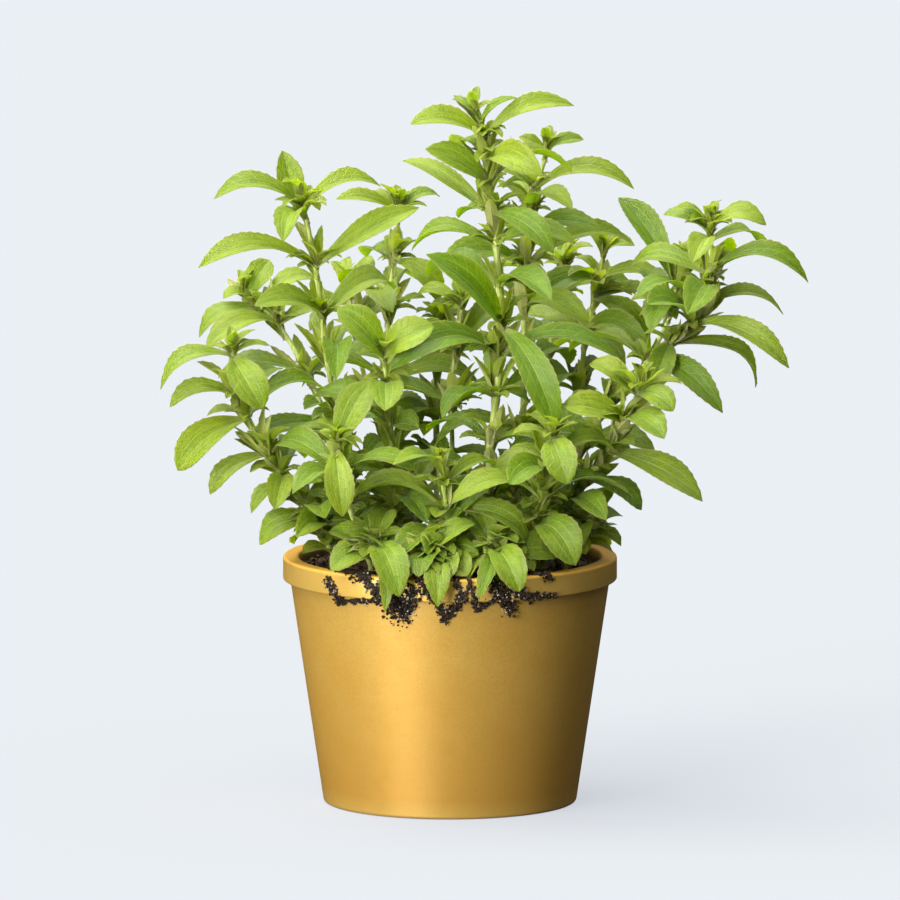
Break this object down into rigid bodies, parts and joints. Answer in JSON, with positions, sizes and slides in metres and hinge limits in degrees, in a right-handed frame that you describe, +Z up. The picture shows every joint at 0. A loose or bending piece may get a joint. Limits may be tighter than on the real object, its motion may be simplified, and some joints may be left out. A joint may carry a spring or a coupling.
{
  "type": "stevia plant in a pot",
  "caption": "Bushy herb plant with opposite toothed leaves on upright stems, standing in a round tapered pot with a collar.",
  "frame": {"origin": "middle of the pot's flat base, on the surface that it stands on", "axes": "+Z up; +X to the right and -Y to the front, as the plant shows best"},
  "size_m": [0.2735, 0.1944, 0.3027],
  "materials": {
    "pot": "smooth mustard-gold satin glaze",
    "soil": "dark crumbly potting soil, dull",
    "leaf": "soft yellow-green leaf with fine hairs, satin",
    "young_leaf": "lighter yellow-green young leaf, satin"
  },
  "bodies": {
    "root": {"pot": "pot", "soil": "soil", "stem_left_tall": "leaf", "stem_left_lean": "leaf", "stem_left_low": "leaf", "stem_back_left": "leaf", "stem_front_left": "leaf", "stem_centre_tall": "leaf", "stem_centre_back": "leaf", "stem_right_back": "leaf", "stem_right_long": "leaf", "stem_right_low": "leaf", "stem_back_centre_left": "leaf", "stem_back_centre": "leaf", "stem_back_right": "leaf", "stem_back_far_left": "leaf", "stem_front_centre": "leaf", "stem_front_right": "leaf", "stem_front_left_low": "leaf", "shoot_rim_left": "young_leaf", "shoot_front_left": "young_leaf", "shoot_front": "young_leaf", "shoot_front_right": "young_leaf", "shoot_rim_right": "young_leaf", "shoot_back_left": "young_leaf", "shoot_back_right": "young_leaf"}
  },
  "joints": []
}
